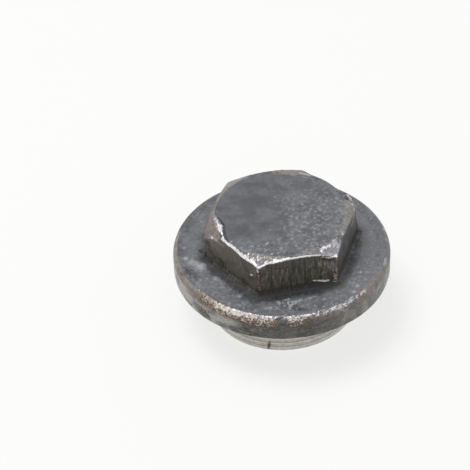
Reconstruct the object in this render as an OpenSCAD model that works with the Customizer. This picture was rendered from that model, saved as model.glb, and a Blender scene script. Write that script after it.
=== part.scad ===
// Crankcase oil plug: one piece of forged and turned steel. A low hexagon head stands on a
// wide round collar that seats on the crankcase, and a short, fine-threaded shank, hollow
// from below, screws into it. The plug stands on the end of its shank, at z = 0.

/* [Hexagon head] */
// Width of the hexagon across its flats, which is the spanner size
hex_af = 24; // [19:0.5:28]
// Height of the hexagon above the collar
hex_h = 7.5; // [5:0.1:10]
// How far the flat top stays inside the flats
top_in = 0.3; // [0.1:0.1:1.5]
// Slope of the turned chamfer on the top corners
chamfer_angle = 30; // [15:1:45]
// Radius of the forged fillet round the foot of the hexagon
foot_r = 1; // [0.4:0.1:2]

/* [Collar] */
// Diameter of the collar
collar_d = 38.5; // [35:0.5:48]
// Thickness of the collar
collar_t = 4.7; // [3:0.1:8]
// Radius of the rolled rim at the top of the collar
rim_r = 1.5; // [0.8:0.1:2.5]
// How far the crisp upper edge of the rim lies inside the collar's side
rim_in = 0.75; // [0.3:0.05:0.8]
// Radius of the lower edge of the collar
edge_r = 0.4; // [0.2:0.1:1]

/* [Shank] */
// Outer diameter of the thread
thread_d = 27; // [23:0.5:32]
// Pitch of the thread
thread_pitch = 1; // [0.75:0.25:1.5]
// Length of the shank under the collar
shank_h = 8.8; // [6:0.1:14]
// Width of the turned relief between the thread and the collar
relief_w = 2.1; // [1:0.1:3]
// How much deeper the relief is than the thread
relief_extra = 0.15; // [0.05:0.05:0.4]

/* [Hollow] */
// Diameter of the drilled hollow in the shank
hollow_d = 18; // [10:0.5:20]
// Depth of the hollow's straight wall
hollow_depth = 10; // [4:0.5:12]
// Full angle of the drill point at the hollow's end
drill_angle = 118; // [90:2:140]
// Width of the chamfer at the hollow's mouth
mouth_chamfer = 0.5; // [0.2:0.1:1]

/* [Hidden] */
$fn = 96;
steel = [0.25, 0.26, 0.28];
bare_steel = [0.62, 0.61, 0.57];

// Bruises where a slipping spanner has rolled over the top of a corner. Each has the
// direction it faces, in degrees from +X, how far inside the edge of the flat top it
// starts, and how steeply it falls.
bruises = [[-21, 0.4, 37], [60, 1, 20], [184, 0.3, 50], [300, 0.1, 37]];

sides = 6;
side_angle = 360 / sides;
corner_r = hex_af / 2 / cos(side_angle / 2);
top_r = hex_af / 2 - top_in;
collar_r = collar_d / 2;
collar_top = shank_h + collar_t;
rim_drop = sqrt(pow(rim_r, 2) - pow(rim_r - rim_in, 2));
// Depth of a metric external thread, with its rounded root
thread_depth = 0.6134 * thread_pitch;
thread_r = thread_d / 2;
relief_r = thread_r - thread_depth - relief_extra;
lead_in = thread_depth + relief_extra;
// How far one feature is sunk into its neighbour, so that the two join
join = 0.3;
// Radius of the head before its flats: it holds the corners of the fillet round the foot
blank_r = (hex_af / 2 + foot_r) / cos(side_angle / 2) + join;

// Height of the turned chamfer above the head's foot, at a distance from the axis
function chamfer_z(r) = hex_h - (r - top_r) * tan(chamfer_angle);

// The head as it is turned, before its flats: a flat top and the cone of its chamfer.
module head_blank() {
    rotate_extrude()
        polygon([
            [0, -join],
            [blank_r, -join],
            [blank_r, chamfer_z(blank_r)],
            [top_r, hex_h],
            [0, hex_h]
        ]);
}

// The section of what is taken off beside each flat. Its rounded inner corner leaves the
// fillet round the foot of the hexagon.
module flat_waste_section() {
    translate([0, foot_r]) square([blank_r, hex_h]);
    translate([foot_r, 0]) square([blank_r, hex_h]);
    translate([foot_r, foot_r]) circle(foot_r);
}

module flat_waste() {
    translate([hex_af / 2, blank_r, 0])
        rotate([90, 0, 0])
            linear_extrude(2 * blank_r) flat_waste_section();
}

// A slab that planes off the top of one corner, from a line on the flat top outwards.
module bruise(direction, inset, slope) {
    slab = corner_r;
    rotate(direction)
        translate([top_r - inset, 0, hex_h])
            rotate([0, slope, 0])
                translate([-slab / 2, -slab / 2, 0])
                    cube(slab);
}

module hex_head() {
    color(steel)
        translate([0, 0, collar_top])
            difference() {
                head_blank();
                for (i = [0:sides - 1]) rotate((i + 0.5) * side_angle) flat_waste();
                for (b = bruises) bruise(b[0], b[1], b[2]);
            }
}

// Half of the collar's section: a block, less the waste outside the arc of its rolled rim
// and outside its small lower radius.
module collar_section() {
    difference() {
        square([collar_r, collar_t]);
        difference() {
            translate([collar_r - rim_in, collar_t - rim_drop]) square([rim_in + join, rim_drop + join]);
            translate([collar_r - rim_r, collar_t - rim_drop]) circle(rim_r);
        }
        difference() {
            translate([collar_r - edge_r, -join]) square([edge_r + join, edge_r + join]);
            translate([collar_r - edge_r, edge_r]) circle(edge_r);
        }
    }
}

module collar() {
    color(steel)
        translate([0, 0, shank_h])
            rotate_extrude() collar_section();
}

// The shank at the thread's outer diameter, with its lead-in chamfer and its relief.
module shank() {
    thread_top = shank_h - relief_w;
    color(bare_steel)
        rotate_extrude()
            polygon([
                [0, 0],
                [thread_r - lead_in, 0],
                [thread_r, lead_in],
                [thread_r, thread_top - (thread_r - relief_r)],
                [relief_r, thread_top],
                [relief_r, shank_h + join],
                [0, shank_h + join]
            ]);
}

// The drilled hollow, with the cone of the drill's point and a chamfered mouth.
module hollow() {
    hollow_r = hollow_d / 2;
    point_h = hollow_r / tan(drill_angle / 2);
    color(bare_steel)
        rotate_extrude()
            polygon([
                [0, -join],
                [hollow_r + mouth_chamfer + join, -join],
                [hollow_r, mouth_chamfer],
                [hollow_r, hollow_depth],
                [0, hollow_depth + point_h]
            ]);
}

module oil_plug() {
    difference() {
        union() {
            hex_head();
            collar();
            shank();
        }
        hollow();
    }
}

oil_plug();
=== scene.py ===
import math

import bmesh
import bpy
from mathutils import Matrix, Vector, noise


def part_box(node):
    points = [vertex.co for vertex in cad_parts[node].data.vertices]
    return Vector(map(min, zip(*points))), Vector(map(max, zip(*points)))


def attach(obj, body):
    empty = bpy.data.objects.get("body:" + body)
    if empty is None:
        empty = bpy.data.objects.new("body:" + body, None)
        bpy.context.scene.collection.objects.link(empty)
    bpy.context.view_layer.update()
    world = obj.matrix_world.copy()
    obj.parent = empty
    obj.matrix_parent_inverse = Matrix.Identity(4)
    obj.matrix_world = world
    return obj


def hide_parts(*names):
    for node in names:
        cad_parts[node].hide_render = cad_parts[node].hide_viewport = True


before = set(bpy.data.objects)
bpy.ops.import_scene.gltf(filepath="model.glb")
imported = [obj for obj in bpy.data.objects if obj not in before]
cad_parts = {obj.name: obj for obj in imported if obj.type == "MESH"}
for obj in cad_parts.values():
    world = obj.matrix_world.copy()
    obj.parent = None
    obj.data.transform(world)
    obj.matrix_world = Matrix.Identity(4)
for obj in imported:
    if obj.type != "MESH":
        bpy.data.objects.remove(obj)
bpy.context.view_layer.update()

# The view. The camera stands a little to the left of the plug's front and well above it, far
# off with a long lens, and leans a couple of degrees.
mm = 0.001
view_turn = math.radians(-11.27)
view_height = math.radians(40.735)
view_lean = math.radians(-2.105)
view_distance = 330.644 * mm
view_aim = Vector((0, 0, 8 * mm))
view_left = 8.375 * mm
view_up = 5.924 * mm

camera_data = bpy.data.cameras.new("camera")
camera_data.lens = 141.7
camera_data.sensor_width = 36
camera_data.clip_start = 0.01
back = Vector((
    math.sin(view_turn) * math.cos(view_height),
    -math.cos(view_turn) * math.cos(view_height),
    math.sin(view_height),
))
level = Vector((math.cos(view_turn), math.sin(view_turn), 0))
steep = back.cross(level)
across = level * math.cos(view_lean) + steep * math.sin(view_lean)
upward = steep * math.cos(view_lean) - level * math.sin(view_lean)
camera = bpy.data.objects.new("camera", camera_data)
camera.matrix_world = Matrix((across, upward, back)).transposed().to_4x4()
camera.location = view_aim + back * view_distance - across * view_left + upward * view_up
bpy.context.scene.collection.objects.link(camera)
bpy.context.scene.camera = camera
bpy.context.scene.view_settings.view_transform = "Standard"

# The light. A white room lights the plug evenly, and a soft lamp high over its back left gives
# the worn edges their shine and the floor its faint shadow.
room_level = 0.55
lamp_power = 1.75
lamp_size = 0.34
lamp_place = Vector((-0.16, 0.1, 0.6))


def seen_by_camera(tree):
    """One for what the camera sees by itself, in a reflection or through glass, else nothing."""
    path = tree.nodes.new("ShaderNodeLightPath")
    seen = path.outputs["Is Camera Ray"]
    for kind in ("Is Glossy Ray", "Is Transmission Ray"):
        either = tree.nodes.new("ShaderNodeMath")
        either.operation = "MAXIMUM"
        tree.links.new(seen, either.inputs[0])
        tree.links.new(path.outputs[kind], either.inputs[1])
        seen = either.outputs[0]
    return seen


room = bpy.data.worlds.new("room")
bpy.context.scene.world = room
room.use_nodes = True
room_links = room.node_tree.links
background = room.node_tree.nodes["Background"]
background.inputs["Color"].default_value = (1, 1, 1, 1)
strength = room.node_tree.nodes.new("ShaderNodeMapRange")
strength.inputs["To Min"].default_value = room_level
strength.inputs["To Max"].default_value = 1
room_links.new(seen_by_camera(room.node_tree), strength.inputs["Value"])
room_links.new(strength.outputs["Result"], background.inputs["Strength"])

lamp_data = bpy.data.lights.new("soft lamp", "AREA")
lamp_data.shape = "DISK"
lamp_data.size = lamp_size
lamp_data.energy = lamp_power
lamp = bpy.data.objects.new("soft lamp", lamp_data)
lamp.location = lamp_place
lamp.rotation_euler = lamp_place.to_track_quat("Z", "Y").to_euler()
bpy.context.scene.collection.objects.link(lamp)

# The floor. A plain white sheet under the plug. To the camera and in reflections it shows its own
# white mostly, so that the plug's shadow stays faint.
floor_size = 3
floor_glow = 0.72
floor_mesh = bpy.data.meshes.new("floor")
sheet = bmesh.new()
bmesh.ops.create_grid(sheet, x_segments=1, y_segments=1, size=floor_size / 2)
sheet.to_mesh(floor_mesh)
sheet.free()
floor = bpy.data.objects.new("floor", floor_mesh)
floor_white = bpy.data.materials.new("floor white")
floor_white.use_nodes = True
floor_shader = floor_white.node_tree.nodes["Principled BSDF"]
floor_shader.inputs["Base Color"].default_value = (0.96, 0.96, 0.95, 1)
floor_shader.inputs["Roughness"].default_value = 0.8
floor_shader.inputs["Specular IOR Level"].default_value = 0.1
floor_nodes = floor_white.node_tree.nodes
floor_links = floor_white.node_tree.links
floor_share = floor_nodes.new("ShaderNodeMath")
floor_share.operation = "MULTIPLY"
floor_share.inputs[1].default_value = floor_glow
floor_links.new(seen_by_camera(floor_white.node_tree), floor_share.inputs[0])
floor_own = floor_nodes.new("ShaderNodeEmission")
floor_own.inputs["Color"].default_value = (1, 1, 0.99, 1)
floor_mix = floor_nodes.new("ShaderNodeMixShader")
floor_links.new(floor_share.outputs[0], floor_mix.inputs[0])
floor_links.new(floor_shader.outputs[0], floor_mix.inputs[1])
floor_links.new(floor_own.outputs[0], floor_mix.inputs[2])
floor_links.new(floor_mix.outputs[0], floor_nodes["Material Output"].inputs["Surface"])
floor_mesh.materials.append(floor_white)
bpy.context.scene.collection.objects.link(floor)

# The plug's head. It is forged and turned in one piece with the collar and shank, so its skin
# is drawn here from the middle of the flat top outwards and down, one ring of points after
# another. The turned chamfer meets each flat in an arc, and the flats run out in a fillet.
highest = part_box("oil_plug")[1]
top_z = highest[2] / mm
flat_r = 12
top_r = 11.7
chamfer_slope = math.tan(math.radians(30))
edge_soft = 0.22
corner_rounding = 0.3
foot_r = 1
collar_top = 13.5
# Where the flats' upper edges are worn lower or pushed up: direction, reach and depth.
edge_wear = [
    (224, 8, 0.65), (209, 9, 0.3), (246, 3.5, -0.35), (8, 6, -0.5), (24, 5, 0.15), (38, 10, 0.6),
    (48, 8, 0.4), (157, 6, -0.3),
]
steps_round = 480
sixth = math.radians(60)

plug = bmesh.new()
turn = plug.verts.layers.float.new("turn")
worn = plug.verts.layers.float.new("worn")


def hump(x, width):
    """One at nothing, falling smoothly away on both sides."""
    return math.exp(-(x / width) ** 2)


def hexagon(angle, apothem, rounding=corner_rounding):
    """How far the side of a hexagon lies from the axis, with its corners a little rounded."""
    off = abs(angle % sixth - sixth / 2)
    flat_end = math.atan((apothem - rounding) / apothem * math.tan(sixth / 2))
    if off <= flat_end:
        return apothem / math.cos(off)
    centre = (apothem - rounding) / math.cos(sixth / 2)
    beside = sixth / 2 - off
    return centre * math.cos(beside) + math.sqrt(rounding ** 2 - (centre * math.sin(beside)) ** 2)


def crowded(angle, crowding):
    """The same angle drawn towards the nearest corner of the hexagon."""
    return angle - crowding * math.sin(6 * angle) / 6


def next_ring(edges, place, crowding=0, wear=0):
    """Extrudes an open ring of edges. place gives the new ring's radius and height by angle."""
    made = bmesh.ops.extrude_edge_only(plug, edges=edges)["geom"]
    ring = {v for v in made if isinstance(v, bmesh.types.BMVert)}
    for v in ring:
        angle = crowded(v[turn], crowding)
        r, z = place(angle)
        v.co = (r * math.cos(angle), r * math.sin(angle), z)
        v[worn] = wear
    return [e for e in made if isinstance(e, bmesh.types.BMEdge) and ring.issuperset(e.verts)]


def chamfer_z(r):
    """Height of the turned chamfer at a distance from the axis, with its inner edge softened."""
    return top_z - chamfer_slope * edge_soft * math.log1p(math.exp((r - top_r) / edge_soft))


def edge_drop(angle):
    """How far the upper edge of a flat is worn below the chamfer."""
    degrees = math.degrees(angle) % 360
    return sum(drop * hump((degrees - at + 180) % 360 - 180, reach) for at, reach, drop in edge_wear)


head_crowding = 0.6
inner_r = 8.5
edge_r = top_r - 0.12
bmesh.ops.create_circle(
    plug, cap_ends=True, cap_tris=True, segments=steps_round, radius=1,
    matrix=Matrix.Translation((0, 0, top_z)))
for v in plug.verts:
    v[turn] = math.atan2(v.co.y, v.co.x)
edges = [e for e in plug.edges if e.is_boundary]
for r in (2, 3, 4, 5, 6, 7, 7.8):
    edges = next_ring(edges, lambda a: (r, top_z), head_crowding * r / inner_r)
close_rings = 18
for i in range(close_rings):
    r = inner_r + (edge_r - inner_r) * i / close_rings
    edges = next_ring(edges, lambda a: (r, chamfer_z(r)), head_crowding)
edges = next_ring(edges, lambda a: (edge_r, chamfer_z(edge_r)), head_crowding, 0.7)
edges = next_ring(edges, lambda a: (top_r, chamfer_z(top_r)), head_crowding, 1)

edge_round = 0.14
chamfer_rings = 13
chamfer_start = top_r + 0.06
for i in range(1, chamfer_rings + 1):
    part = i / chamfer_rings

    def on_chamfer(a):
        """On the chamfer, part of the way from the flat top to the flat."""
        r = chamfer_start + (hexagon(a, flat_r) - edge_round - chamfer_start) * part
        return r, chamfer_z(r) - edge_drop(a) * part ** 2

    edges = next_ring(edges, on_chamfer, head_crowding, 1)


def under_edge(a, inset, drop):
    """On the worn edge between chamfer and flat."""
    r = hexagon(a, flat_r)
    return r - inset, chamfer_z(r) - edge_drop(a) - drop


edges = next_ring(edges, lambda a: under_edge(a, 0.06, 0), head_crowding, 1)
edges = next_ring(edges, lambda a: under_edge(a, 0.015, 0.06), head_crowding, 0.9)
edges = next_ring(edges, lambda a: under_edge(a, 0, edge_round), head_crowding, 0.6)

flat_rings = 36
foot_z = collar_top + foot_r
for i in range(1, flat_rings + 1):
    part = i / flat_rings

    def on_flat(a):
        """On the flat, part of the way from its worn edge to the fillet."""
        r = hexagon(a, flat_r)
        start = chamfer_z(r) - edge_drop(a) - edge_round
        return r, start + (foot_z - start) * part

    edges = next_ring(edges, on_flat, head_crowding)

fillet_rings = 8
for i in range(1, fillet_rings + 1):
    bend = math.radians(90) * i / fillet_rings
    out = foot_r * (1 - math.cos(bend))
    z = collar_top + foot_r * (1 - math.sin(bend))
    edges = next_ring(edges, lambda a: (hexagon(a, flat_r + out), z), head_crowding)

# The collar. Its flat top runs from the fillet to a crisp edge, where the rolled rim starts. The
# rim falls in an arc into the straight side, and a small radius leads to the seat below.
collar_r = highest[0] / mm
rim_r = 1.5
rim_in = 0.75
rim_drop = math.sqrt(rim_r ** 2 - (rim_r - rim_in) ** 2)
seat_z = 8.8
lower_r = 0.4

land_rings = 24
land_start = flat_r + foot_r
land_end = collar_r - rim_in - 0.1
for i in range(1, land_rings + 1):
    part = i / land_rings
    edges = next_ring(
        edges, lambda a: (hexagon(a, land_start) * (1 - part) + land_end * part, collar_top),
        head_crowding * (1 - part))

rim_rings = 12
crisp = 0.02
rim_start = math.acos((rim_r - rim_in) / rim_r)
for i in range(rim_rings + 1):
    slope = rim_start * (1 - i / rim_rings)
    r = collar_r - rim_r + rim_r * math.cos(slope)
    z = collar_top - rim_drop + rim_r * math.sin(slope) - (crisp if i == 0 else 0)
    edges = next_ring(edges, lambda a: (r, z))

side_rings = 12
side_start = collar_top - rim_drop
side_end = seat_z + lower_r
for i in range(1, side_rings + 1):
    z = side_start + (side_end - side_start) * i / side_rings
    edges = next_ring(edges, lambda a: (collar_r, z))

lower_rings = 4
for i in range(1, lower_rings + 1):
    bend = math.radians(90) * i / lower_rings
    r = collar_r - lower_r * (1 - math.cos(bend))
    z = seat_z + lower_r * (1 - math.sin(bend))
    edges = next_ring(edges, lambda a: (r, z))

# The shank. It is turned straight, with a relief under the collar, a lead-in at its end and a
# hollow drilled from below. Its right-hand thread is cut afterwards.
thread_r = 13.5
pitch = 1
thread_depth = 0.6134 * pitch
relief_r = thread_r - thread_depth - 0.15
relief_z = seat_z - 2.1
lead_in = thread_r - relief_r
hollow_r = 9
hollow_depth = 10
mouth = 0.5
drill_slope = math.tan(math.radians(118 / 2))
drill_tip = hollow_depth + hollow_r / drill_slope
# The rings of the shank, as radius and height: seat, relief, thread, end, hollow and drill point.
section = [
    (17, seat_z), (15.5, seat_z), (14.2, seat_z), (relief_r + 0.2, seat_z),
    (relief_r + 0.06, seat_z - 0.06), (relief_r, seat_z - 0.2),
    (relief_r, relief_z), (thread_r, relief_z - lead_in), (thread_r, lead_in),
    (relief_r, 0), (11.2, 0), (hollow_r + mouth, 0), (hollow_r, mouth),
    (hollow_r, 3.5), (hollow_r, 7), (hollow_r, hollow_depth),
]
section += [(r, hollow_depth + (hollow_r - r) / drill_slope) for r in (7, 4, 1.5)]
for r, z in section:
    edges = next_ring(edges, lambda a: (r, z))
tip = bmesh.ops.contextual_create(plug, geom=edges)["faces"]
drill_point = bmesh.ops.poke(plug, faces=tip)["verts"]
for v in drill_point:
    v.co.z = drill_tip
bmesh.ops.recalc_face_normals(plug, faces=plug.faces)

# The wear. A slipping spanner has rolled four corners over. Each bruise is a rough plane, with
# the steel that it pushed up standing in a lip along its upper side.

# These layers say how bare, rusty, creamy, tanned and speckled the skin is at each point, how far
# inside the flats the point lies, and how pale, silvery and streaked the skin is. How pale it is also
# holds painted light and shade, and how silvery it is a painted sheen on the collar's side.
bare, rust, cream, tan, speckle, edge_side, tone_and_painted_light, silver_and_painted_sheen, flank = [
    plug.verts.layers.float.new(name)
    for name in ("bare", "rust", "cream", "tan", "speckle", "edge_side", "tone_and_painted_light", "silver_and_painted_sheen", "flank")
]


def ease(x):
    """Nothing up to 0, one from 1 on, and a smooth rise between."""
    x = min(max(x, 0), 1)
    return x * x * (3 - 2 * x)


def span(angle, start, end, soft):
    """One between two directions in degrees, falling to nothing over a softer stretch."""
    off = abs((angle - (start + end) / 2 + 180) % 360 - 180) - (end - start) / 2
    return ease(1 - off / soft)


def grain(place, fineness, seed=0):
    """Smooth noise from -1 to 1, with about one swell in each 1/fineness mm."""
    return noise.noise(place * fineness + Vector((seed, seed, seed)))


def from_line(place, start, end):
    """How far a place lies from the stretch between two others."""
    along = (place - start).dot(end - start) / max((end - start).length_squared, 0.0001)
    return (place - start.lerp(end, min(max(along, 0), 1))).length


# Each has its direction, how far inside the top's edge it starts, its slope and roughness, and its
# lip's height, start and end.
bruises = [
    (-21, 0.4, 37, 0.02, 0.08, -2.4, 3.6),
    (184, 0.3, 50, 0.07, 0.34, -2.9, 5.2),
    (300, 0.1, 37, 0.14, 0.1, -2.2, 2),
    (60, 1, 20, 0.08, 0.14, -4.2, 3.4),
]
# A lip higher than this one folds over as a leaf.
leaf_height = 0.2
head_verts = [v for v in plug.verts if v.co.z > foot_z - 0.6]

# First the flats' places are noted, the right corner is rounded off and the worn rings are dented.
for v in head_verts:
    place = v.co.copy()
    angle = math.atan2(place.y, place.x)
    flat_side = hexagon(angle, flat_r)
    inside = flat_side - math.hypot(place.x, place.y)
    v[flank] = ease((0.3 - inside) / 0.25)
    v[edge_side] = inside
    right = span(math.degrees(angle), -8, 6, 8) * ease((place.z - 15.8) / 2)
    rounder = hexagon(angle, flat_r, 2.2)
    if inside < 0.5 and right > 0:
        v.co.xy *= 1 - (1 - rounder / flat_side) * right
    v.co.z += 0.05 * v[worn] * grain(place, 1.1) + 0.03 * v[worn] * grain(place, 3.1)

# Then each bruise is planed off and gets its lip. The big one at the left has a folded leaf, with
# a gap behind it that is darkened with painted shade.
for direction, inset, slope, roughness, lip, lip_start, lip_end in bruises:
    outward = Vector((math.cos(math.radians(direction)), math.sin(math.radians(direction)), 0))
    sideways = Vector((-outward.y, outward.x, 0))
    tilt = math.radians(slope)
    normal = outward * math.sin(tilt) + Vector((0, 0, math.cos(tilt)))
    start = outward * (top_r - inset) + Vector((0, 0, top_z))
    for v in head_verts:
        place = v.co.copy()
        above = (place - start).dot(normal)
        inner = (place - start).dot(outward)
        aside = place.dot(sideways)
        if above > 0:
            rough = roughness * (grain(place, 1.1, direction) + 0.8 * grain(place, 2.8, direction))
            v.co -= normal * (above + rough)
            v[worn] = 1
            v[flank] *= ease(0.5 - above)
        if place.z > top_z - 2.5 and inner > -1.2:
            along = ease((aside - lip_start) / 0.9) * ease((lip_end - aside) / 0.9)
            ragged = 0.8 + 0.6 * grain(place, 1.3, direction)
            leaf = hump(aside + 0.3, 1.8) if lip > leaf_height else 0
            gap = hump(inner + 0.45 + 0.55 * leaf, 0.18)
            v.co.z += lip * along * ragged * hump(inner - 0.1 + 0.2 * leaf, 0.3 + 0.12 * leaf)
            v.co.z -= 0.5 * lip * along * ragged * gap
            if lip > leaf_height:
                high = ease((place.z - top_z + 1) / 0.4)
                near_end = ease((1 - aside) / 1.4)
                gleam = (1.7 + 0.9 * grain(place, 2.5, 8)) * (1 - 0.5 * near_end)
                gleam *= along * high * hump(inner - 0.14 + 0.28 * leaf, 0.18 + 0.5 * leaf)
                v[bare] = max(v[bare], gleam)
                # Painted shade in the gap behind the leaf.
                v[tone_and_painted_light] -= 1.1 * along * gap
                dulled = along * high * hump(inner + 0.28 * leaf, 0.5) * near_end
                v[tone_and_painted_light] -= 2 * dulled
                v[silver_and_painted_sheen] += 0.6 * dulled

# How bright the worn edges shine, by direction: start, end, softness, amount, breadth.
shine = [
    (201, 234, 4, 1.4, 0.21), (234, 247, 4, 1.2, 0.3), (247, 262, 5, 0.95, 0.34),
    (262, 292, 5, 1.2, 0.16), (291, 307, 3, 0.85, 3), (306, 336, 6, 0.2, 0.4),
    (75, 170, 10, 0.2, 0.4),
]
# Where a smooth tan film lies on rubbed steel: start, end, softness, amount.
tanned = [
    (-42, 1, 5, 1), (15, 36, 5, 0.45), (170, 194, 4, 1), (63, 84, 5, 1), (110, 170, 8, 0.8),
    (230, 262, 5, 0.45), (268, 292, 5, 0.4), (290, 308, 3, 0.8),
]
# Where that film is beige and not reddish: start, end, softness, amount.
beige = [
    (-60, 30, 10, 1), (95, 160, 10, 0.8), (226, 310, 10, 0.9), (50, 75, 10, 0.3), (172, 200, 8, 0.15),
]
for v in head_verts:
    place = v.co
    angle = math.degrees(math.atan2(place.y, place.x))
    r = math.hypot(place.x, place.y)
    for start, end, soft, amount, breadth in shine:
        here = amount * span(angle, start, end, soft) * ease(1.5 - v[edge_side] / breadth)
        v[bare] = max(v[bare], v[worn] * here)
    for start, end, soft, amount in tanned:
        v[tan] = max(v[tan], v[worn] * amount * span(angle, start, end, soft))
    if place.z > top_z - 0.3:
        soft_edge = hump(top_r - r, 0.75) * span(angle, -46, -4, 6) * (1 - v[worn])
        v[tan] = max(v[tan], soft_edge * (0.75 + 0.6 * grain(place, 1.2, 19)))
    v[cream] += sum(amount * span(angle, *where) for *where, amount in beige)

    # The upright edges at the two corners in front are scraped bright, and rusty beside it.
    beside_corner = math.radians(abs((angle + 30) % 60 - 30)) * r
    front_corner = span(angle, 238, 302, 4) * (1 - 0.55 * span(angle, 292, 304, 6))
    above_foot = ease((place.z - foot_z - 0.1) / 0.6) * front_corner * v[flank]
    streaky = ease(0.5 + 1.7 * grain(Vector((place.x, place.y, place.z * 0.3)), 2.6, 4))
    v[bare] += 0.31 * streaky * hump(beside_corner, 0.25) * above_foot
    v[rust] += 0.5 * hump(beside_corner - 0.15, 0.4) * above_foot
    v[tan] += (0.2 + 0.4 * streaky) * hump(beside_corner, 0.6) * above_foot

    # The front left corner is scraped in patches, and the bruise at the front right is silvery.
    in_corner = v[worn] * span(angle, 230, 252, 5) * ease(v[edge_side] / 0.3)
    v[rust] += 0.34 * in_corner
    v[tan] += 0.7 * in_corner
    v[bare] += 0.61 * in_corner * ease(0.5 + 1.8 * grain(place, 2.4, 7))
    v[tone_and_painted_light] -= 1.3 * in_corner
    v[silver_and_painted_sheen] += 0.9 * in_corner
    in_bruise = v[worn] * span(angle, 289, 311, 2) * ease((place.z - 19) / 0.3)
    v[bare] += 0.1 * in_bruise * grain(place, 0.9, 2)
    v[tone_and_painted_light] -= 2.9 * in_bruise
    v[silver_and_painted_sheen] += in_bruise * (0.1 + 0.5 * ease((angle % 360 - 302) / 5) + 0.5 * grain(place, 1.4, 6))

    # The right flat has lost some of its streaks, the bruise at the left stays brown below, and the
    # worn edge at the right is darker.
    v[flank] *= 1 - 0.55 * span(angle, 306, 355, 4)
    left_facet = v[worn] * span(angle, 170, 198, 4) * ease((-11.75 - place.x) / 0.3)
    v[bare] *= 1 - 0.9 * left_facet * ease((20.2 - place.z) / 0.3)
    v[tone_and_painted_light] -= 0.4 * v[worn] * span(angle, 5, 46, 5)

    # The flat top is speckled at its right and in front.
    on_top = ease(v[edge_side] * 3)
    v[tone_and_painted_light] += 0.05 + on_top * (0.15 * ease((place.x + 2) / 7) + 0.28 * grain(place, 0.42, 31))
    v[speckle] = on_top * max(ease((place.x + 3) / 6), 0.9 * ease((-4.5 - place.y) / 3))
    v[speckle] *= 0.25 + 0.75 * ease((6.5 - place.y) / 7)

    # The flats are darker at their foot, and the front left one is paler above.
    v[tone_and_painted_light] -= 0.45 * ease((15.8 - place.z) / 1.2)
    paler_from = 15.2 + 1.6 * ease((angle % 360 - 185) / 20)
    v[tone_and_painted_light] += 1.2 * v[flank] * span(angle, 178, 214, 10) * ease((place.z - paler_from) / 1.8)
    v[tone_and_painted_light] += v[flank] * span(angle, 182, 236, 6) * (1.1 + 1.1 * grain(place, 0.8, 23))

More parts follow.
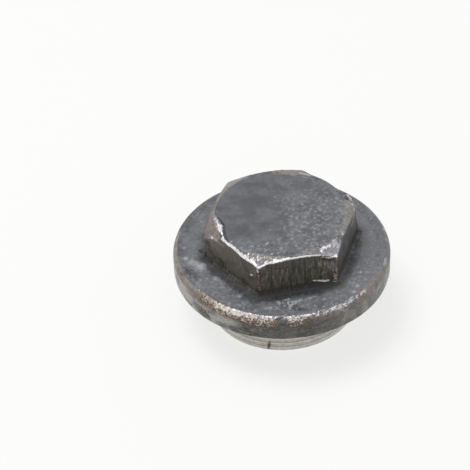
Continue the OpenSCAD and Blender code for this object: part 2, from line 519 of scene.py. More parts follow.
# Scratches, knocks and stains on the head. Each runs through a few places and makes one change or
# more there: the layer that it adds to, its reach, how much it adds and how deep it cuts. A depth
# below nothing raises the steel.
strokes = [
    # A pale knock on the front left flat, and a nick at the front left corner.
    ([(-7.9, -10.3, 17.15), (-7.72, -10.6, 17.35)], [(rust, 0.15, 1.8, 0.1), (cream, 0.2, 2.4, 0)]),
    ([(-7.1, -11.7, 19.3), (-7, -11.9, 19)], [(bare, 0.16, 1.2, 0)]),
    # The right corner: a bright slash, and a worn line down the edge of its bruise.
    ([(12.45, 2, 20.87), (12.61, 1.64, 20.79), (12.85, 0.83, 20.48)],
     [(bare, 0.3, 0.68, -0.04), (tone_and_painted_light, 0.45, -1.3, 0), (silver_and_painted_sheen, 0.4, 0.7, 0)]),
    ([(12, 1.5, 20.8), (12.03, 0.75, 20.75)], [(tone_and_painted_light, 0.2, -1.5, 0.05)]),
    ([(12.8, -0.2, 20.37), (12.84, -0.88, 20.26), (12.78, -1.6, 19.95)], [(bare, 0.2, 0.6, 0)]),
    ([(12.78, -1.6, 19.95), (12.73, -1.95, 19.79), (12.51, -2.32, 18.9)], [(bare, 0.2, 0.9, 0)]),
    ([(12.84, -0.88, 20.26), (12.73, -1.95, 19.79), (12.51, -2.32, 18.9)],
     [(tone_and_painted_light, 0.4, -2.4, 0), (silver_and_painted_sheen, 0.4, 0.4, 0)]),
    ([(12.51, -2.32, 18.8), (11.73, -3.69, 18.45)], [(tan, 0.3, 1.5, 0)]),
    ([(13.29, -0.93, 19.88), (13.2, -1.5, 19.2)], [(tone_and_painted_light, 0.2, -1.6, 0)]),
    # The right flat's upper edge.
    ([(9.1, -7.6, 20.85), (8.8, -8, 20.85)], [(bare, 0.25, 0.35, 0)]),
    ([(9.1, -8.1, 20.65), (8.9, -8.5, 20.6)], [(tone_and_painted_light, 0.17, -1.8, 0.03)]),
    ([(13, -0.9, 20.1), (12.8, -1.8, 19.6), (12.5, -2.4, 19.3)], [(tan, 0.5, 0.9, 0)]),
    # The front left corner.
    ([(-8.8, -8.3, 20.5), (-8.2, -9.2, 20.5)], [(bare, 0.34, 0.5, 0)]),
    ([(-7.45, -9.85, 20.55), (-7.2, -10.4, 20.35)], [(bare, 0.22, 0.6, 0)]),
    ([(-5.46, -11.5, 20.55), (-4.81, -11.35, 20.6), (-3.32, -11.75, 20.6)], [(bare, 0.2, 0.5, 0)]),
    ([(-5.9, -10.9, 20.6), (-4.9, -11, 20.75), (-3.6, -11.4, 20.8)], [(tan, 0.22, 0.9, 0)]),
    ([(-7, -10.1, 20.6), (-6.9, -10.9, 20.35)], [(tone_and_painted_light, 0.18, -0.8, 0.05)]),
    ([(-8.2, -8.7, 20.8), (-7.4, -9, 20.9), (-6, -10.3, 20.8)], [(tan, 0.35, 0.7, 0)]),
    ([(-8.2, -8.7, 20.8), (-7.4, -9, 20.9)], [(cream, 0.4, -0.8, 0)]),
    # Tan along the front flat's upper edge.
    ([(1.16, -11.25, 20.95), (1.8, -11.45, 20.95), (2.55, -11.6, 20.85)], [(tan, 0.15, 1.8, 0)]),
    ([(0.2, -11.5, 20.9), (3.6, -11.35, 20.9)], [(tan, 0.3, 0.7, 0)]),
    ([(3.2, -10.9, 21), (4.1, -11.3, 20.9)], [(tan, 0.35, 0.8, 0)]),
    # A bright scratch low on the front flat, with rust at its end.
    ([(2.6, -12, 14.96), (3.5, -12, 14.76)], [(bare, 0.09, 2, 0.03)]),
    ([(3.6, -12, 14.72), (4.3, -12, 14.53), (4.9, -12, 14.4), (5.4, -12, 14.42)],
     [(rust, 0.15, 1.9, 0.06), (cream, 0.22, 3.2, 0)]),
    ([(2.3, -12, 16.3), (3.2, -12, 16.28), (4.2, -12, 16.1)], [(tone_and_painted_light, 0.12, 1.8, 0)]),
    # Rust below the left corner.
    ([(-13.5, -0.6, 17.5), (-13.2, -1.1, 16.3)], [(tan, 0.5, 0.55, 0)]),
    ([(-13.4, -0.8, 17.6), (-13.1, -1.3, 16.2)], [(rust, 0.7, 0.8, 0)]),
    ([(-12.3, -2.6, 15.9), (-11.6, -4, 15.4)], [(rust, 0.6, 0.6, 0)]),
    # Two silver specks on the flat top.
    ([(-4.4, -7.5, 21), (-4.2, -7.4, 21)], [(silver_and_painted_sheen, 0.24, 1.2, 0)]),
    ([(-4.2, -10.2, 21), (-4, -10.2, 21)], [(silver_and_painted_sheen, 0.2, 1, 0)]),
    # The bruise at the front right corner, with its outline and its folded lip.
    ([(4.3, -11.45, 20.8), (4.85, -10.8, 20.9), (6.1, -10.35, 20.75)],
     [(bare, 0.18, 0.4, -0.04), (tone_and_painted_light, 0.3, 1.9, 0)]),
    ([(6.1, -10.35, 20.75), (7.1, -9.7, 20.8), (8.3, -9.2, 20.6)], [(bare, 0.35, 0.15, 0)]),
    ([(5.5, -11, 20.3), (6.2, -11.05, 20.2), (6.9, -10.8, 20.1)], [(bare, 0.34, -0.22, 0.07)]),
    ([(4.7, -11.3, 20.6), (5.2, -11.5, 20.3)], [(bare, 0.2, -0.3, 0.04)]),
    ([(4.3, -11.95, 20), (4.9, -12, 19.65), (5.5, -12, 19.5), (6.4, -12, 19.5), (6.9, -11.95, 19.55)],
     [(bare, 0.24, 0.55, -0.14)]),
    ([(4.4, -11.95, 20), (5.5, -12, 19.55), (6.7, -11.95, 19.6)], [(tone_and_painted_light, 0.3, 2, 0)]),
    ([(4.5, -12, 19.5), (5.3, -12, 19.05), (6.5, -12, 19.1)], [(tone_and_painted_light, 0.16, -1.8, 0)]),
    ([(7.9, -8.4, 20.95), (8.6, -8.2, 20.8)], [(tone_and_painted_light, 0.4, -0.8, 0)]),
    # The bruise at the left corner, with a cut gap darkened with painted shade, and tan beside it.
    ([(-12.82, -1.31, 19.25), (-12.18, -2.91, 19.65)], [(bare, 0.3, 0.62, 0), (cream, 0.3, 0.8, 0)]),
    ([(-11.5, -2.5, 20.85), (-11.35, -3.5, 20.9)], [(bare, 0.15, -3.6, 0.06), (tone_and_painted_light, 0.2, -2, 0)]),
    ([(-11.7, -1.5, 20.6), (-11.6, -1.9, 20.6)], [(tone_and_painted_light, 0.15, -1.5, 0.05)]),
    ([(-11.5, 1.8, 21.1), (-11.3, 0.4, 21.2), (-11.2, -1, 21.2)], [(tan, 0.5, 1, 0)]),
    ([(-11.5, 1.8, 21.1), (-11.2, -1, 21.2)], [(cream, 0.6, 0.5, 0)]),
    ([(-13, -1.5, 18.6), (-12.6, -2.2, 17)], [(tan, 0.8, 0.4, 0)]),
    ([(-12.18, -2.91, 19.5), (-11.33, -4.37, 19.6)], [(tan, 0.35, 1.3, 0)]),
    # The two corners at the back, with a line of painted shadow along the top's edge beside the back
    # right corner.
    ([(1.25, 10.95, 21), (3, 10.6, 21), (4.6, 10, 21)], [(tan, 0.45, 1.1, 0)]),
    ([(5.9, 10.6, 20.5), (6.53, 9.93, 20.58), (7.3, 9.3, 20.5)], [(silver_and_painted_sheen, 0.5, 0.9, 0)]),
    ([(5.7, 9.7, 21), (6.9, 8.6, 21), (8.4, 7.4, 20.95)], [(tone_and_painted_light, 0.22, -1.2, 0.05)]),
    # Rust and tan on the flats and up their corners.
    ([(-4.4, -12, 19.6), (-3.2, -12, 19.35), (-1.9, -12, 19.3)],
     [(rust, 0.4, 0.8, 0), (cream, 0.6, -0.9, 0)]),
    ([(-6.9, -12.3, 15.2), (-6.8, -12.4, 14.4)], [(cream, 0.8, -0.9, 0), (rust, 0.6, 0.9, 0)]),
    ([(6.6, -12.2, 15.3), (6.7, -12.3, 14.2)], [(cream, 0.8, -0.9, 0), (rust, 0.6, 0.9, 0)]),
    ([(5.3, -12, 18.6), (6.7, -12, 16.6)], [(tan, 0.8, 0.45, 0)]),
    ([(4, -12, 18.9), (4.3, -12, 17.6)], [(tan, 0.5, 0.45, 0)]),
    ([(4.6, -12, 18.8), (5.8, -12, 17)], [(tone_and_painted_light, 0.5, 1, 0)]),
    ([(-12.2, -3, 17.8), (-11.4, -4.4, 17)], [(tan, 0.9, 0.4, 0)]),
    ([(9.6, -7.4, 18.6), (9.9, -6.9, 17.8)], [(tone_and_painted_light, 0.35, 1.5, 0)]),
    ([(10.05, -6.6, 17.3), (10.1, -6.5, 16.6)], [(tone_and_painted_light, 0.3, 1.5, 0)]),
]
heart = Vector((0, 0, 13))
for points, changes in strokes:
    points = [Vector(p) for p in points]
    middle = sum(points, Vector()) / len(points)
    inwards = (heart - middle).normalized()
    half = max((p - middle).length for p in points)
    for what, reach, amount, deep in changes:
        for v in head_verts:
            if (v.co - middle).length < half + 3 * reach:
                away = min(from_line(v.co, *pair) for pair in zip(points, points[1:]))
                near = hump(away, reach)
                v[what] += amount * near
                v.co += inwards * deep * near

# The collar's marks. The rim's crisp edge is worn bright in front, with rust below it, and the
# collar's top and side are mottled where they were rubbed and knocked.

# Where the edge shines: start, end, softness, amount.
edge_shine = [
    (-176, -150, 8, 0.2), (-146, -131, 8, 0.45), (-131, -98, 4, 0.98), (-98, -62, 5, 1.05),
    (-64, -54, 4, 0.8),
]
# Where the rim is rusty: start, end, softness, how much rust and how creamy it is.
rim_rust = [
    (-148, -138, 7, 0.75, 0.08), (-139, -122, 5, 1, 0.38), (-122, -106.5, 2, 0.95, 0.12),
    (-99.8, -92, 1.5, 0.95, 0.15), (-92, -84, 5, 0.5, 0),
]
# Where the rim is tanned: start, end, softness, amount, and how far down the rim it reaches.
rim_tan = [
    (-202, -150, 8, 0.9, 1.2), (-160, -112, 8, 0.7, 1.8), (-58, -34, 8, 0.75, 1.1),
    (-96, -76, 5, 0.85, 1.25), (-76, -60, 6, 0.35, 1),
]
# Lighter and darker patches on the collar's top: direction, distance out, reach, tone.
patches = [
    (177.7, 17.2, 0.5, 1.6), (-178, 16.1, 1, 1.4), (-171.7, 15.2, 1.1, 1.6), (166, 15.5, 0.4, 1.2),
    (167.8, 17.2, 0.4, 1.2), (171.9, 14.6, 0.6, -1.1), (-171.6, 17.8, 1, -0.8), (-165, 16.8, 1.2, -0.7),
    (-156.9, 16.4, 0.7, -0.7), (-156, 14.4, 0.7, 1.3), (-150, 14.4, 0.7, 1.2), (-158.7, 16.6, 0.7, 0.6),
    (-146, 16.2, 0.8, 0.5), (-142, 15.1, 0.7, 0.8), (-132.6, 15.1, 0.5, 1.3), (-134, 17.8, 0.4, 1.2),
    (-137, 17.2, 0.6, 0.7), (-125, 15.9, 0.7, 0.4), (-122, 16.8, 0.9, -0.3), (-94.3, 17, 0.55, -1),
    (-91, 17, 0.5, -1), (-86, 16.2, 0.8, 0.4), (-72, 15.8, 1, 0.9), (-62, 15.6, 1.2, 1),
    (-54.4, 15.4, 0.9, 1.2), (-41.9, 15.56, 0.25, 2.2), (-53.5, 17, 0.5, 1.5), (-58.5, 17.5, 0.5, 1.5),
    (-49, 16.2, 1.2, 0.8), (-36, 16.5, 1.4, 0.4), (-20, 16.3, 1.2, 0.5), (10, 17.1, 1.2, -0.3),
    (-45, 17, 1.6, 0.3), (-106, 16, 1.5, -0.25), (-58, 16.2, 2.2, 0.35), (-66, 16.8, 1.5, 0.4),
    (-98.5, 15.9, 0.6, -1.3), (-95.5, 16.4, 0.5, -1.2), (-65.5, 16, 0.8, 0.4), (143, 15.3, 0.9, 0.9),
    (172, 14.9, 0.5, 0.8),
]
# The same on the collar's side: direction, height, reach, tone. The three near -32 degrees are a
# painted highlight down the side at the right.
side_patches_and_sheen = [
    (-178, 9.6, 1.5, 0.8), (-168, 9.8, 1.7, 1), (-160, 10.6, 1.5, 1.1), (-152, 11.6, 0.7, 0.9),
    (-149, 10.2, 0.9, -0.8), (-145, 9.9, 0.8, -0.7), (-142, 10.3, 0.6, 1.2), (-135.3, 11.2, 0.9, 1.9),
    (-129.5, 11.2, 0.8, 1.9), (-124, 10.2, 1.2, -0.3), (-43, 11.5, 0.8, 0.8), (-46, 10.8, 0.8, 0.5),
    (-54, 9.5, 0.6, 0.9), (-64, 10.6, 1.2, 0.5), (-72, 10, 1.5, 0.5), (-107, 10.2, 0.5, 0.6),
    (-51, 12.2, 0.5, -1.2), (-31, 12.6, 0.55, 1.6), (-32.5, 11.4, 0.6, 1.7), (-34, 10.1, 0.6, 1.4),
]
# Pale smears on the collar's top in front: where each starts and ends, from above, and its tone.
smears = [
    (-4.3, -14.65, -2.3, -14.15, 0.9), (-2.3, -14.15, -2.3, -15.2, 1.3), (-2.3, -15.2, -2.5, -16.5, 1.2),
    (-2.3, -15.3, -1.4, -15, 1.5), (-1.4, -15, -0.6, -14.7, 1.4), (-0.6, -14.7, 1.4, -14.75, 1.1),
    (1.4, -14.75, 3.1, -14.5, 0.8), (-6, -15.4, -4.3, -15.9, 0.8), (-7.2, -15, -6.4, -15.2, 0.6),
]
# Broad bands on the collar's top: rings of painted light and shade, and one of tan film. Each has its
# layer, start, end, softness, amount, distance out and breadth.
painted_light_and_tan_bands = [
    (tone_and_painted_light, -36, 8, 14, 1.45, 15.4, 1.1), (tone_and_painted_light, 120, 200, 15, 0.35, 15.6, 1),
    (tone_and_painted_light, 100, 185, 14, -0.35, 17.8, 1), (tone_and_painted_light, -46, 20, 10, -0.5, 17, 0.6),
    (tan, -54, -38, 8, 0.6, 18.1, 0.8),
]
# What lies less than a hair from a level counts as on it.
hair = 0.001


def around_axis(direction, out, high):
    """The place in a direction in degrees, at a distance from the axis and a height."""
    turned_by = math.radians(direction)
    return Vector((out * math.cos(turned_by), out * math.sin(turned_by), high))


for v in plug.verts:
    place = v.co.copy()
    if place.z < seat_z + hair or place.z > foot_z:
        continue
    angle = math.degrees(math.atan2(place.y, place.x))
    r = math.hypot(place.x, place.y)
    # How far down: nothing at the rim's upper edge, and one where the straight side starts.
    down = (collar_top - place.z) / rim_drop
    foot_out = r - hexagon(math.radians(angle), land_start)
    shines = max(amount * span(angle, *where) for *where, amount in edge_shine)
    if place.z > collar_top + hair:
        # The fillet round the foot of the hexagon, darkened with painted shade, less at the right.
        lit_side = span(angle, -66, -5, 6)
        v[flank] = ease((place.z - collar_top - 0.02) / 0.3) * (1 - 0.55 * lit_side)
        v[tone_and_painted_light] -= 1.1 - 0.35 * lit_side
    elif place.z > collar_top - hair and r < land_end + hair:
        # The collar's flat top, with painted shade beside the hexagon, less at the front right, and the
        # flats' dark brown reaching a little way onto it.
        soft_out = foot_out + 0.5 * grain(place, 0.7, 17)
        # Painted shade beside the hexagon's foot, weaker at the front right.
        painted_foot_shade = 1.1 - 0.2 * span(angle, -50, 10, 10) - 0.9 * span(angle, -70, -50, 5)
        v[tone_and_painted_light] -= painted_foot_shade * ease(1 - soft_out / 2.2)
        v[flank] = 0.5 * ease(1 - soft_out / 1.1)
        v[speckle] = (0.3 + 0.45 * span(angle, -165, -45, 20)) * ease(foot_out / 1.5)

        # Smears, patches and broad bands lie on it, the bands mostly painted light and shade.
        ragged = 0.6 + 1.9 * grain(place, 2.6, 5)
        wander = 0.35 * grain(place, 1.8, 9)
        for x, y, end_x, end_y, shade in smears:
            away = from_line(place, Vector((x, y, collar_top)), Vector((end_x, end_y, collar_top)))
            smeared = shade * ragged * hump(away + wander, 0.4)
            v[tone_and_painted_light] += 0.9 * smeared
            v[silver_and_painted_sheen] += 0.75 * smeared
        for direction, out, reach, shade in patches:
            away = (place - around_axis(direction, out, collar_top)).length
            v[tone_and_painted_light] += 1.2 * shade * hump(away, reach)
            v[silver_and_painted_sheen] += 0.85 * max(shade - 0.6, 0) * hump(away, reach)
        for what, start, end, soft, amount, out, breadth in painted_light_and_tan_bands:
            v[what] += amount * span(angle, start, end, soft) * hump(r - out, breadth)
        v[tone_and_painted_light] += 0.5 + 0.22 * span(angle, -40, 24, 12)
        v[cream] += 0.3 * span(angle, -60, 0, 8)

        # Its outer edge shines in front and is rusty at the front left.
        broken = 0.85 + 0.5 * grain(place, 1.7, 11)
        v[bare] += 0.6 * broken * hump(r - land_end, 0.3) * shines
        rusty_edge = hump(r - land_end, 0.35) * span(angle, -154, -120, 4)
        v[rust] += 0.8 * rusty_edge
        v[cream] += 0.9 * rusty_edge
    elif r > land_end:
        # The rim and the side below it. The rim's upper edge shines, above rust and tan.
        edge = hump(down, 0.3 + 0.17 * span(angle, -94, -58, 8)) if down > 0.05 else 1
        broken = 0.8 + 0.85 * grain(place, 2.4, 11)
        v[bare] = 0.8 * broken * edge * shines
        wander = 1.7 * grain(place, 1, 21) + 1.4 * grain(place, 2.8, 4)
        rusty_to = 1.5 + 0.4 * span(angle, -120, -92, 8)
        for start, end, soft, amount, creamy in rim_rust:
            here = span(angle + wander, start, end, soft)
            v[rust] = max(v[rust], here * amount * ease((rusty_to - down) / 0.7))
            v[cream] = max(v[cream], here * (3.3 * creamy * ease((0.65 - down) / 0.4) + 0.4 * edge))
        for start, end, soft, amount, tan_to in rim_tan:
            v[tan] = max(v[tan], amount * span(angle, start, end, soft) * ease((tan_to - down) / 0.5))
        v[cream] = max(v[cream], 0.6 * span(angle, -166, -148, 5) * ease((0.55 - down) / 0.4))
        v[cream] = max(v[cream], 0.6 * span(angle, -205, -180, 6))
        v[cream] = max(v[cream], 0.35 * span(angle, -60, -36, 8))

        # The side is silvery at the left, dark and streaked in front and mottled at the right.
        left_side = span(angle, -185, -124, 10) * ease(down / 0.8)
        v[silver_and_painted_sheen] += 0.62 * left_side * ease(0.6 + 1.6 * grain(place, 0.45, 3))
        v[silver_and_painted_sheen] += 0.65 * span(angle, -182, -126, 6) * hump(down - 1.35, 0.25)
        v[tone_and_painted_light] += 0.4 * span(angle, -215, -158, 10) * ease(down - 0.5)
        # Painted shade on the rim at the back left, and painted light on the rim and the top of the side
        # at the right.
        v[tone_and_painted_light] -= 0.35 * span(angle, 135, 185, 14) * ease(1.2 - down)
        v[tone_and_painted_light] += 0.7 * span(angle, -50, 15, 10) * ease(1.4 - down)
        front = span(angle, -122, -58, 12)
        right_side = span(angle, -70, 10, 10)
        v[tone_and_painted_light] += 1.2 * right_side - 0.35 * front
        v[silver_and_painted_sheen] += 0.75 * right_side * ease(0.25 + 2 * grain(place, 0.5, 27))
        v[tan] += 0.5 * right_side * ease(0.1 + 1.8 * grain(place, 0.8, 33))
        v[flank] = 0.6 * front * ease((down - 0.5) / 0.7)
        # The patches include a painted highlight down the side at the right.
        for direction, high, reach, shade in side_patches_and_sheen:
            away = (place - around_axis(direction, collar_r, high)).length
            if away < 3 * reach:
                patch = hump(away + 0.5 * reach * grain(place, 1.3, 13), reach)
                v[tone_and_painted_light] += 0.5 * shade * patch
                v[silver_and_painted_sheen] += 0.6 * shade * patch

        # It is pitted where it is rusty, and a little dented all round.
        pit = v[rust] * (0.5 + v[cream])
        rough = 0.07 * grain(place, 1.9) + 0.04 * grain(place, 4.2)
        out = place.xy.normalized()
        v.co.xy += out * (-abs(rough) * pit - 0.03 * (0.5 + grain(place, 0.4)))

plug_mesh = bpy.data.meshes.new("plug")
plug.to_mesh(plug_mesh)
plug.free()
oil_plug = bpy.data.objects.new("plug", plug_mesh)
bpy.context.scene.collection.objects.link(oil_plug)

# The thread. A bit with a V section, flat at its tip, winds up the shank once for each pitch and
# runs out in the relief, and what it passes through is cut away.
bit_tip = pitch / 12
bit_reach = thread_r + 0.08
bit_side = bit_tip + (bit_reach - thread_r + thread_depth) * math.tan(math.radians(30))
thread_start = -0.9
thread_turns = 8
steps_a_turn = 180

bit = bmesh.new()
corners = [
    (thread_r - thread_depth, -bit_tip), (bit_reach, -bit_side),
    (bit_reach, bit_side), (thread_r - thread_depth, bit_tip),
]
points = [bit.verts.new((r, 0, thread_start + z)) for r, z in corners]
for i in range(4):
    bit.edges.new((points[i], points[(i + 1) % 4]))
bmesh.ops.spin(
    bit, geom=bit.verts[:] + bit.edges[:], cent=(0, 0, 0), axis=(0, 0, 1),
    dvec=(0, 0, pitch / steps_a_turn), angle=math.radians(360) * thread_turns,
    steps=steps_a_turn * thread_turns)
bmesh.ops.holes_fill(bit, edges=[e for e in bit.edges if e.is_boundary], sides=4)
bmesh.ops.recalc_face_normals(bit, faces=bit.faces)
bit_mesh = bpy.data.meshes.new("thread bit")
bit.to_mesh(bit_mesh)
bit.free()
thread_bit = bpy.data.objects.new("thread bit", bit_mesh)
bpy.context.scene.collection.objects.link(thread_bit)
cut = oil_plug.modifiers.new("thread", "BOOLEAN")
cut.operation = "DIFFERENCE"
cut.solver = "EXACT"
cut.object = thread_bit
depsgraph = bpy.context.evaluated_depsgraph_get()
cut_mesh = bpy.data.meshes.new_from_object(oil_plug.evaluated_get(depsgraph))
oil_plug.modifiers.remove(cut)
oil_plug.data = cut_mesh
bpy.data.objects.remove(thread_bit)
bpy.data.meshes.remove(bit_mesh)
cut_mesh.transform(Matrix.Scale(mm, 4))
for polygon in cut_mesh.polygons:
    polygon.use_smooth = True
cut_mesh.set_sharp_from_angle(angle=math.radians(38))

# The plug's steel. A blue-black oxide covers the head and collar, thin and speckled where it was
# handled. It is worn off the edges, brown and creamy with rust on the rim, and never covered the
# shank, which is zinc grey. All noise is measured in millimetres on the plug.
steel = bpy.data.materials.new("blackened steel")
steel.use_nodes = True
tree = steel.node_tree


def node(kind, inputs=(), **settings):
    """Adds a shader node. Its sockets, by name or number, get values or other nodes' outputs."""
    made = tree.nodes.new("ShaderNode" + kind)
    for name, value in settings.items():
        setattr(made, name, value)
    for socket, value in dict(inputs).items():
        if isinstance(value, bpy.types.NodeSocket):
            tree.links.new(value, made.inputs[socket])
        else:
            made.inputs[socket].default_value = value
    return made


def maths(operation, a, b):
    """Two numbers put together."""
    return node("Math", {0: a, 1: b}, operation=operation).outputs[0]


def rise(value, start, end, low=0, high=1):
    """Goes smoothly from low to high as the value goes from start to end."""
    sockets = {"Value": value, "From Min": start, "From Max": end, "To Min": low, "To Max": high}
    return node("MapRange", sockets, interpolation_type="SMOOTHSTEP").outputs[0]


def times(a, b):
    """Two numbers multiplied."""
    return maths("MULTIPLY", a, b)


def plus(a, b):
    """Two numbers added."""
    return maths("ADD", a, b)


def vector(operation, *parts):
    """Vectors put together: into another one, or into a number for a length or a product."""
    made = node("VectorMath", dict(enumerate(parts)), operation=operation)
    return made.outputs[1 if operation in ("LENGTH", "DOT_PRODUCT") else 0]


def upwards(amount):
    """A vector that points up by an amount."""
    return node("CombineXYZ", {2: amount}).outputs[0]


def swing(value, amount):
    """A noise made to swing by an amount round nothing."""
    return times(maths("SUBTRACT", value, 0.5), amount)


def blend(amount, a, b):
    """One colour going over into another."""
    colours = [c if isinstance(c, bpy.types.NodeSocket) else (*c, 1) for c in (a, b)]
    return node("Mix", {0: amount, 6: colours[0], 7: colours[1]}, data_type="RGBA").outputs[2]


def mottle(fineness, detail=3, roughness=0.55, coordinates=None):
    """Noise with about one swell in each 1/fineness mm."""
    sockets = {
        "Vector": coordinates or in_mm, "Scale": fineness, "Detail": detail, "Roughness": roughness,
    }
    return node("TexNoise", sockets).outputs["Fac"]


def layer(name):
    """One of the layers of numbers on the plug's points."""
    return node("Attribute", attribute_name=name).outputs["Fac"]


in_mm = vector("MULTIPLY", node("TexCoord").outputs["Object"], (1 / mm, 1 / mm, 1 / mm))
fine = mottle(4.5, 4, 0.6)
middling = mottle(1.5, 3)
broad = mottle(0.35, 2)
speck = mottle(1.25, 2, 0.6)
y_mm, height = node("SeparateXYZ", {0: in_mm}).outputs[1:]
swirl = node("TexNoise", {"Vector": in_mm, "Scale": 1.6}).outputs["Color"]
wavy = vector("MULTIPLY_ADD", swirl, (0.35, 0.35, 0.35), in_mm)


def dots(fineness, reach, share):
    """Soft round spots, at most one in each 1/fineness mm, in a share of the places."""
    cells = node("TexVoronoi", {"Vector": wavy, "Scale": fineness})
    chosen = rise(cells.outputs["Color"], 0.8 - share, 1 - share)
    return times(chosen, rise(cells.outputs["Distance"], reach, 0))


# The oxide, thinner where it is speckled or rubbed, and sandy on the collar's side. Its lightness also
# holds painted light and shade, and its rubbed colour also stands for a painted sheen on the collar's
# side. A list of two colours goes from the darker to the paler one.
oxide_blues = [(0.035, 0.037, 0.043), (0.175, 0.18, 0.195)]
oxide_grain = (0.05, 0.052, 0.06)
speckle_grey = (0.32, 0.32, 0.335)
spot_grey = (0.47, 0.48, 0.48)
glint_grey = (0.4, 0.4, 0.4)
side_brown = (0.155, 0.149, 0.132)
sides_rubbed_and_sheen = [(0.31, 0.305, 0.28), (0.49, 0.475, 0.445)]
rubbed_tops = [(0.31, 0.32, 0.345), (0.44, 0.455, 0.475)]
sand_pale = (0.26, 0.25, 0.225)
sand_dark = (0.035, 0.034, 0.03)
on_collar = rise(height, collar_top + 0.7, collar_top + 0.1)
on_side = rise(height, collar_top - 0.15, collar_top - 0.4)
above_rim = rise(height, collar_top - 0.5, collar_top - 0.2)
lightness = plus(layer("tone_and_painted_light"), rise(broad, 0.35, 0.65, -0.3, 0.3))
lightness = plus(lightness, times(rise(middling, 0.3, 0.7, -0.3, 0.3), on_collar))
oxide = blend(rise(lightness, -1, 1), *oxide_blues)
oxide = blend(rise(fine, 0.3, 0.7, 0, 0.5), oxide, oxide_grain)
speckled = plus(times(dots(1.15, 0.6, 0.5), 0.75), times(dots(2.1, 0.6, 0.5), 0.45))
speckled = plus(speckled, rise(speck, 0.45, 0.75, 0, 0.5))
oxide = blend(times(speckled, rise(layer("speckle"), 0, 1, 0.06, 0.85)), oxide, speckle_grey)
spots = times(dots(0.6, 0.17, 0.4), rise(lightness, -0.6, 0.3, 0, 0.8))
oxide = blend(spots, oxide, spot_grey)
glints = rise(plus(fine, times(layer("speckle"), 0.03)), 0.68, 0.76, 0, 0.3)
oxide = blend(glints, oxide, glint_grey)
oxide = blend(times(on_side, 0.35), oxide, side_brown)
rubbed_and_sheen_pair = [blend(above_rim, *colours) for colours in zip(sides_rubbed_and_sheen, rubbed_tops)]
rubbed_and_sheen_colour = blend(rise(fine, 0.35, 0.65), *rubbed_and_sheen_pair)
rubbing_and_sheen = plus(plus(layer("silver_and_painted_sheen"), swing(middling, 0.9)), swing(fine, 1.3))
oxide = blend(rise(rubbing_and_sheen, 0.2, 0.9), oxide, rubbed_and_sheen_colour)
sand = mottle(3, 3, 0.75)
oxide = blend(times(rise(sand, 0.5, 0.7, 0, 0.6), on_side), oxide, sand_pale)
oxide = blend(times(rise(sand, 0.48, 0.3, 0, 0.65), on_side), oxide, sand_dark)

# Fine marks run round the collar's top from the lathe.
lathe_grey = (0.28, 0.28, 0.29)
outward_mm = vector("MULTIPLY", in_mm, (1, 1, 0))
out_mm = vector("LENGTH", outward_mm)
heading = vector("MULTIPLY", vector("NORMALIZE", outward_mm), (9, 9, 0))
turned = mottle(1, 2, 0.6, vector("ADD", heading, upwards(times(out_mm, 4.5))))
land_from = rise(height, collar_top - 0.3, collar_top - 0.15)
on_land = times(land_from, rise(height, collar_top + 0.25, collar_top + 0.1))
marks = times(rise(plus(turned, times(broad, 0.3)), 0.7, 0.86, 0, 0.4), on_land)
marks = times(marks, rise(plus(lightness, layer("speckle")), 0.1, 0.6))
oxide = blend(marks, oxide, lathe_grey)

# The flats are streaked upwards by the spanner, and the collar's side is streaked round.
drag_browns = [(0.014, 0.012, 0.009), (0.108, 0.101, 0.077)]
scuff_grey = (0.27, 0.26, 0.22)
flat_rust = (0.085, 0.045, 0.025)
flat_pale = (0.135, 0.12, 0.092)
flat_sand = (0.19, 0.18, 0.15)
flat_black = (0.014, 0.013, 0.012)
upright = vector("MULTIPLY", in_mm, (3.2, 3.2, 0.45))
around = vector("MULTIPLY_ADD", heading, (1.4, 1.4, 0), upwards(times(height, 2.2)))
on_head = rise(height, collar_top - 0.1, collar_top)
drag = node("Mix", {0: on_head, 4: around, 5: upright}, data_type="VECTOR").outputs[1]
dragged = mottle(1, 4, 0.7, drag)
flat_colour = blend(rise(dragged, 0.32, 0.68), *drag_browns)
scuffs = rise(plus(dragged, times(middling, 1.1)), 1.12, 1.36, 0, 0.55)
flat_colour = blend(scuffs, flat_colour, scuff_grey)
flat_colour = blend(rise(mottle(0.8, 3), 0.52, 0.68, 0, 0.4), flat_colour, flat_rust)
flat_colour = blend(rise(lightness, 0.35, 1.3, 0, 0.62), flat_colour, flat_pale)
flat_colour = blend(times(rise(sand, 0.5, 0.7, 0, 0.4), on_side), flat_colour, flat_sand)
# Where the lightness is low, from painted shade as in the fillet or from dark tone, the flats' colour
# goes nearly black.
flat_colour = blend(rise(lightness, -0.1, -1, 0, 0.75), flat_colour, flat_black)
skin = blend(layer("flank"), oxide, flat_colour)

# Over the oxide lies a film of rust, reddish or beige, and where it is thick it is crumbly, in
# clods from dark brown to cream.
film_reds = [(0.135, 0.092, 0.08), (0.25, 0.208, 0.188)]
film_beiges = [(0.19, 0.174, 0.159), (0.29, 0.272, 0.25)]
red_film = blend(rise(mottle(0.9, 3, 0.6), 0.35, 0.65), *film_reds)
beige_film = blend(rise(middling, 0.35, 0.65), *film_beiges)
film = blend(rise(layer("cream"), 0, 0.7), red_film, beige_film)
dragging = times(swing(dragged, 1.6), layer("flank"))
patchy = plus(swing(middling, 0.8), dragging)
tan_film = rise(plus(layer("tan"), patchy), 0.25, 0.75)
skin = blend(times(tan_film, 0.9), skin, film)

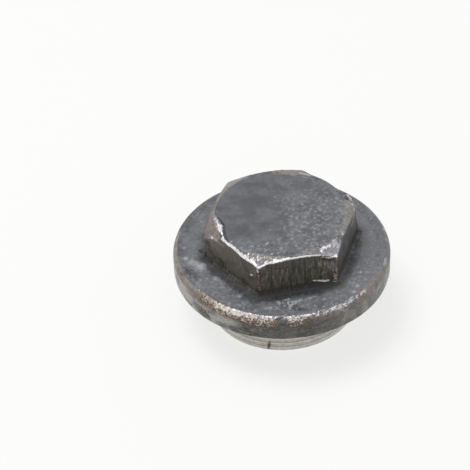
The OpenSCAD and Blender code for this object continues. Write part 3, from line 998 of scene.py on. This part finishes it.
crumb = mottle(2.3, 3, 0.6)
clods = vector("MULTIPLY_ADD", heading, (3.8, 3.8, 0), upwards(times(height, 2.7)))
clods = vector("MULTIPLY_ADD", swirl, (0.8, 0.8, 0.8), clods)
clumps = node("TexVoronoi", {"Vector": clods, "Scale": 2}).outputs["Color"]
clumping = times(maths("SUBTRACT", clumps, 0.24), rise(layer("rust"), 0.45, 0.95, 0.15, 0.5))
clod_shade = plus(times(mottle(1, 4, 0.75, clods), 0.75), clumping)
clod_shade = plus(clod_shade, times(layer("cream"), 0.16))
clod_shade = maths("SUBTRACT", clod_shade, times(layer("flank"), 0.15))
clod_colour = node("ValToRGB", {0: clod_shade})
clod_stops = [
    (0.32, (0.05, 0.037, 0.029)), (0.42, (0.125, 0.08, 0.052)), (0.52, (0.25, 0.183, 0.13)),
    (0.62, (0.44, 0.39, 0.34)), (0.74, (0.8, 0.76, 0.705)),
]
ramp = clod_colour.color_ramp.elements
for position, colour in clod_stops[1:-1]:
    ramp.new(position)
for stop, (position, colour) in zip(ramp, clod_stops):
    stop.position = position
    stop.color = (*colour, 1)
rusted = rise(plus(layer("rust"), patchy), 0.3, 0.6)
skin = blend(rusted, skin, clod_colour.outputs[0])

# The shank and its hollow are zinc grey.
zinc_greys = [(0.68, 0.665, 0.605), (0.82, 0.81, 0.755)]
below_tip = rise(height, drill_tip + 0.8, drill_tip + 0.6)
in_hollow = times(rise(out_mm, hollow_r + 0.6, hollow_r + 0.4), below_tip)
on_shank = maths("MAXIMUM", rise(height, seat_z - 0.12, seat_z - 0.18), in_hollow)
zinc = blend(rise(middling, 0.35, 0.65), *zinc_greys)
skin = blend(on_shank, skin, zinc)

# A streak of rust has run down the thread in front.
streak_width = 0.34
streak_length = 1.25
streak_height = 1.5
streak_across = (0.914, -0.405, -0.14)
streak_shift = 0.21
streak_rust = (0.22, 0.09, 0.055)
beside_streak = plus(vector("DOT_PRODUCT", in_mm, streak_across), streak_shift)
beside_streak = times(beside_streak, 1 / streak_width)
along_streak = times(maths("SUBTRACT", height, streak_height), 1 / streak_length)
streak = vector("LENGTH", node("CombineXYZ", {0: beside_streak, 1: along_streak}).outputs[0])
streak = times(rise(plus(streak, times(fine, 1.3)), 1.75, 1.3), rise(y_mm, -8, -10))
skin = blend(times(streak, 0.8), skin, streak_rust)

# Where the skin is worn through, the steel is naked: dull at first and then bright.
head_bright = (0.86, 0.85, 0.86)
collar_bright = (0.71, 0.685, 0.7)
dull_greys = [(0.3, 0.285, 0.32), (0.55, 0.53, 0.56)]
wear_noise = plus(times(fine, 1.3), times(crumb, 1.3))
worn_through = plus(layer("bare"), maths("SUBTRACT", wear_noise, 1.3))
filled = maths("SUBTRACT", times(layer("bare"), 0.06), times(layer("tone_and_painted_light"), 0.03))
pits = rise(plus(fine, filled), 0.47, 0.41, 0, 0.65)
naked = maths("SUBTRACT", rise(worn_through, 0.35, 0.65), pits)
naked = maths("MAXIMUM", naked, 0)
shining = plus(times(crumb, 1.2), times(worn_through, 0.82))
shining = plus(shining, times(layer("tone_and_painted_light"), 0.25))
brightest = blend(on_collar, head_bright, collar_bright)
dullest = blend(rise(layer("silver_and_painted_sheen"), 0, 1), *dull_greys)
skin = blend(naked, skin, blend(rise(shining, 0.6, 1.6), dullest, brightest))
metal = times(naked, rise(layer("flank"), 0, 1, 0.9, 0.15))
metal = maths("MAXIMUM", metal, times(on_shank, 0.6))

# The skin is a little uneven, most where it is rusty.
relief = plus(times(fine, 0.012), times(middling, 0.03))
relief = plus(relief, times(times(crumb, rusted), 0.15))
relief = plus(relief, times(times(dragged, layer("flank")), 0.06))
relief = plus(relief, times(times(speck, naked), 0.08))
bump = node("Bump", {"Strength": 1, "Distance": mm, "Height": relief})
shader = tree.nodes["Principled BSDF"]
tree.links.new(skin, shader.inputs["Base Color"])
tree.links.new(metal, shader.inputs["Metallic"])
dullness = rise(maths("SUBTRACT", fine, times(naked, 0.3)), 0.2, 0.8, 0.3, 0.55)
dullness = plus(dullness, rise(lightness, -0.3, -1.1, 0, 0.35))
tree.links.new(dullness, shader.inputs["Roughness"])
tree.links.new(bump.outputs[0], shader.inputs["Normal"])
cut_mesh.materials.append(steel)

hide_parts("oil_plug")
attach(oil_plug, "root")
